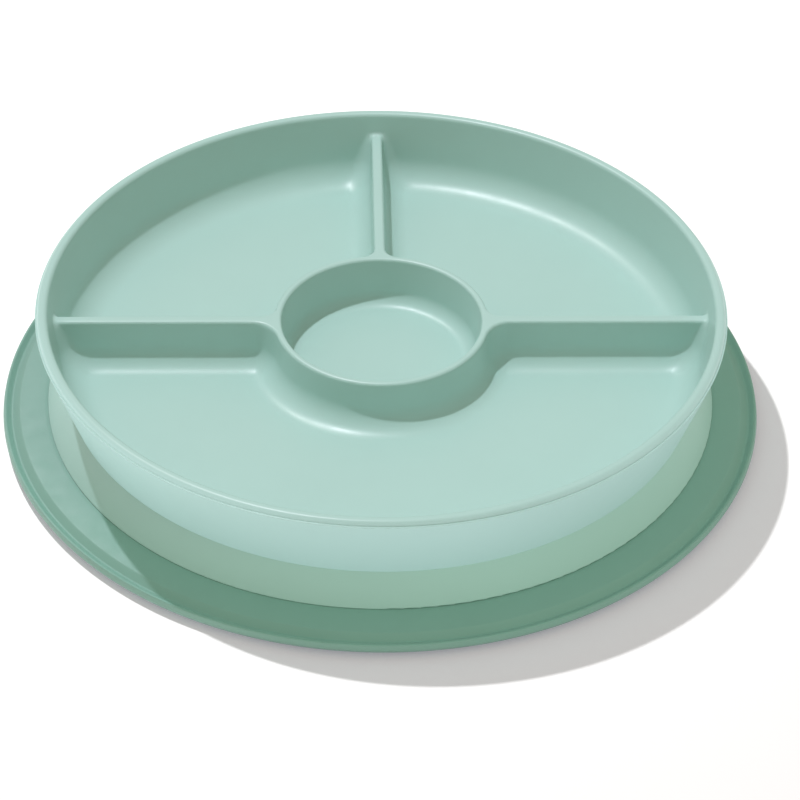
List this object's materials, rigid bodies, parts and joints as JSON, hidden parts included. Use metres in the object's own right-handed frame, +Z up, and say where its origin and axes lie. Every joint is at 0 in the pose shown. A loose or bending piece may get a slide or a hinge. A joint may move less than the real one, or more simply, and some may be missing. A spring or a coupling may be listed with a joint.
{
  "type": "suction plate",
  "caption": "Round divided toddler plate with a centre cup, snapped on a wider suction base with a soft skirt and a release tab.",
  "frame": {"origin": "on the plate's axis, on the table plane under the skirt's sealing lip", "axes": "+Z up along the plate's axis; +Y towards the release tab at the back, which is the side of the divider that stands alone; +X to the right"},
  "size_m": [0.2371, 0.2505, 0.041],
  "materials": {
    "plate_plastic": "satin moulded polypropylene, mint green",
    "base_plastic": "satin moulded polypropylene, mint green",
    "retainer_plastic": "moulded polypropylene, mint green",
    "skirt_silicone": "soft matte silicone, mint green"
  },
  "bodies": {
    "skirt": {"suction_skirt": "skirt_silicone"},
    "base": {"base_plinth": "base_plastic", "skirt_retainer": "retainer_plastic"},
    "plate": {"divided_plate": "plate_plastic"},
    "tab": {"release_tab": "skirt_silicone"}
  },
  "joints": [
    {"name": "suction_press", "type": "slide", "parent": "skirt", "child": "base", "axis": [0, 0, -1], "range_m": [0, 0.002], "stiffness_N_per_m": 6000, "springref_m": -0.001, "deforming": ["suction_skirt"]},
    {"name": "plate_lift", "type": "slide", "parent": "base", "child": "plate", "axis": [0, 0, 1], "range_m": [0, 0.05]},
    {"name": "tab_pull", "type": "hinge", "parent": "skirt", "child": "tab", "pos_m": [0, 0.12, 0.0023], "axis": [1, 0, 0], "range_deg": [0, 65], "stiffness_Nm_per_rad": 0.02}
  ]
}
